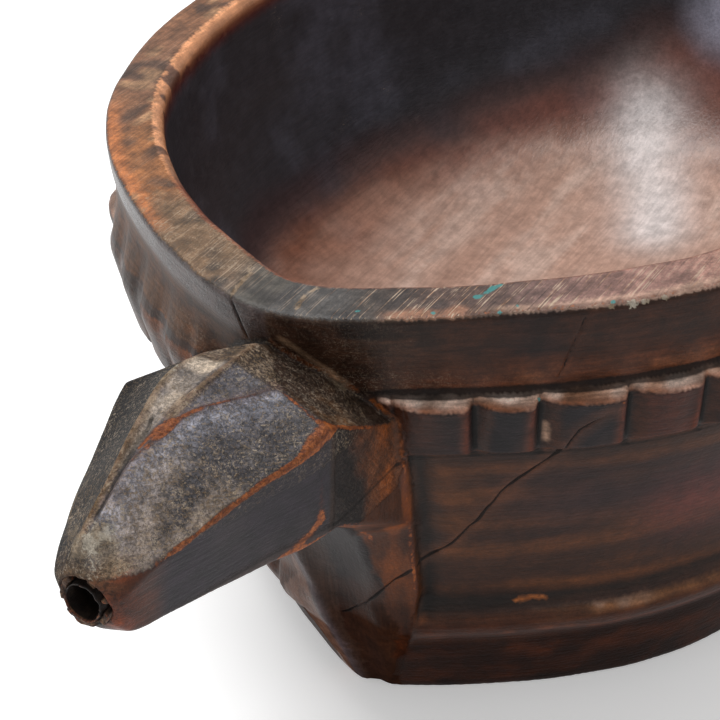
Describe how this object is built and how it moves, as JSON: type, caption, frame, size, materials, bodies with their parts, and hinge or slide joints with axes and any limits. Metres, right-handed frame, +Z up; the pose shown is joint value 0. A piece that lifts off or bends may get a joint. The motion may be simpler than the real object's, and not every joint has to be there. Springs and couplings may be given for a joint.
{
  "type": "carved pouring scoop",
  "caption": "One-piece carved hardwood bowl with a notched band, a faceted spout bored through its length, and a thin sleeve set in the spout's end.",
  "frame": {"origin": "centre of the bowl's plan on the plane it stands on", "axes": "+Z up; the spout points along -Y; +X to the right when looking along +Y"},
  "size_m": [0.1634, 0.2491, 0.095],
  "materials": {
    "carved_wood": "old dark hand-polished patina over carved hardwood, worn to orange-brown on the edges",
    "sleeve_cane": "dry worn cane tube, end frayed",
    "resin_bedding": "dull dark resin with crusted dust"
  },
  "bodies": {
    "root": {"vessel": "carved_wood", "spout_sleeve": "sleeve_cane", "sleeve_bedding": "resin_bedding"}
  },
  "joints": []
}
